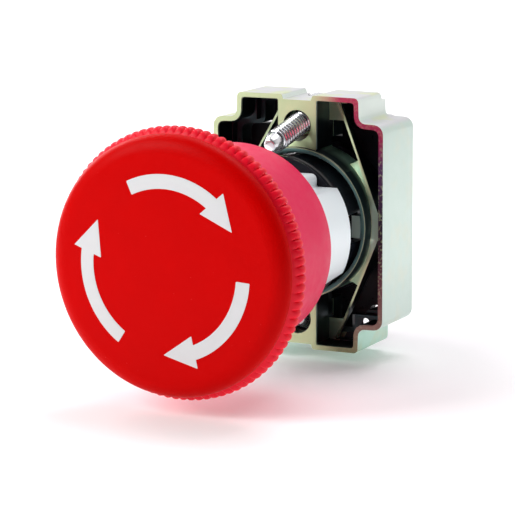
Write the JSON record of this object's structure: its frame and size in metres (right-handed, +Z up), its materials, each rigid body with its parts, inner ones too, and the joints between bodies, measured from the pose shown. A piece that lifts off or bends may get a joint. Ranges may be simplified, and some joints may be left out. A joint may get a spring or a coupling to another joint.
{
  "type": "emergency stop button",
  "caption": "Panel-mounted emergency stop button: red mushroom head that latches when pressed and turns to release, on a metal clamp base with a contact block.",
  "frame": {"origin": "on the button's axis, in the plane of the panel's front face, where the gasket seats", "axes": "+Y through the panel to the wiring side, so the head faces -Y; +Z up; +X to the right seen from the front"},
  "size_m": [0.04, 0.0723, 0.0417],
  "materials": {
    "red_plastic": "semi-gloss moulded, fine spark-eroded grain",
    "bright_metal": "satin bright plate",
    "cast_zinc": "iridescent chromate over zinc die casting",
    "steel": "bright nickel plate",
    "black_plastic": "satin black moulded",
    "white_plastic": "natural acetal",
    "black_rubber": "matt moulded",
    "copper_alloy": "bright stamped"
  },
  "bodies": {
    "mount": {"bezel": "bright_metal", "barrel": "black_plastic", "panel_gasket": "black_rubber", "latch_ring_spring": "steel", "return_spring": "steel", "base_frame": "cast_zinc", "carrier_plate": "black_plastic", "block_plate": "black_plastic", "block_housing": "black_plastic", "block_screw_upper": "steel", "block_screw_lower": "steel", "contact_spring": "steel", "fixed_contact_upper": "copper_alloy", "fixed_contact_lower": "copper_alloy", "clamp_washer_upper": "steel", "clamp_washer_lower": "steel", "terminal_screw_upper": "steel", "terminal_screw_lower": "steel"},
    "plunger": {"plunger_stem": "white_plastic", "plunger_foot": "white_plastic", "drive_pin": "steel"},
    "head": {"mushroom_cap": "red_plastic", "cap_hub": "steel", "reset_spring": "steel"},
    "left_latch": {"latch_pin_left": "steel"},
    "right_latch": {"latch_pin_right": "steel"},
    "lock": {"lock_ring": "black_plastic"},
    "upper_screw": {"clamp_screw_upper": "steel"},
    "lower_screw": {"clamp_screw_lower": "steel"},
    "contact": {"contact_plunger": "white_plastic", "contact_bridge": "copper_alloy"}
  },
  "joints": [
    {"name": "press", "type": "slide", "parent": "mount", "child": "plunger", "axis": [0, 1, 0], "range_m": [0, 0.0055], "stiffness_N_per_m": 2400, "springref_m": -0.003, "deforming": ["return_spring", "latch_ring_spring"]},
    {"name": "turn_to_release", "type": "hinge", "parent": "plunger", "child": "head", "pos_m": [0, 0, 0], "axis": [0, 1, 0], "range_deg": [0, 35], "stiffness_Nm_per_rad": 0.25, "springref_deg": -11.46, "deforming": ["reset_spring"]},
    {"name": "left_latch_slide", "type": "slide", "parent": "mount", "child": "left_latch", "axis": [1, 0, 0], "range_m": [0, 0.00121]},
    {"name": "right_latch_slide", "type": "slide", "parent": "mount", "child": "right_latch", "axis": [-1, 0, 0], "range_m": [0, 0.00121]},
    {"name": "contact_travel", "type": "slide", "parent": "mount", "child": "contact", "axis": [0, 1, 0], "range_m": [0, 0.0055], "stiffness_N_per_m": 300, "springref_m": -0.002, "deforming": ["contact_spring"]},
    {"name": "lock_ring_turn", "type": "hinge", "parent": "mount", "child": "lock", "pos_m": [0, 0.0139, 0], "axis": [0, 1, 0], "range_deg": [0, 30]},
    {"name": "upper_screw_travel", "type": "slide", "parent": "mount", "child": "upper_screw", "axis": [0, 0.9796, 0.2011], "range_m": [0, 0.0101]},
    {"name": "lower_screw_travel", "type": "slide", "parent": "mount", "child": "lower_screw", "axis": [0, 0.9796, -0.2011], "range_m": [-0.0101, 0]}
  ],
  "couplings": [
    {"joint": "contact_travel", "follows": "press", "ratio": 1},
    {"joint": "left_latch_slide", "follows": "press", "ratio": 0.22},
    {"joint": "right_latch_slide", "follows": "press", "ratio": 0.22}
  ]
}
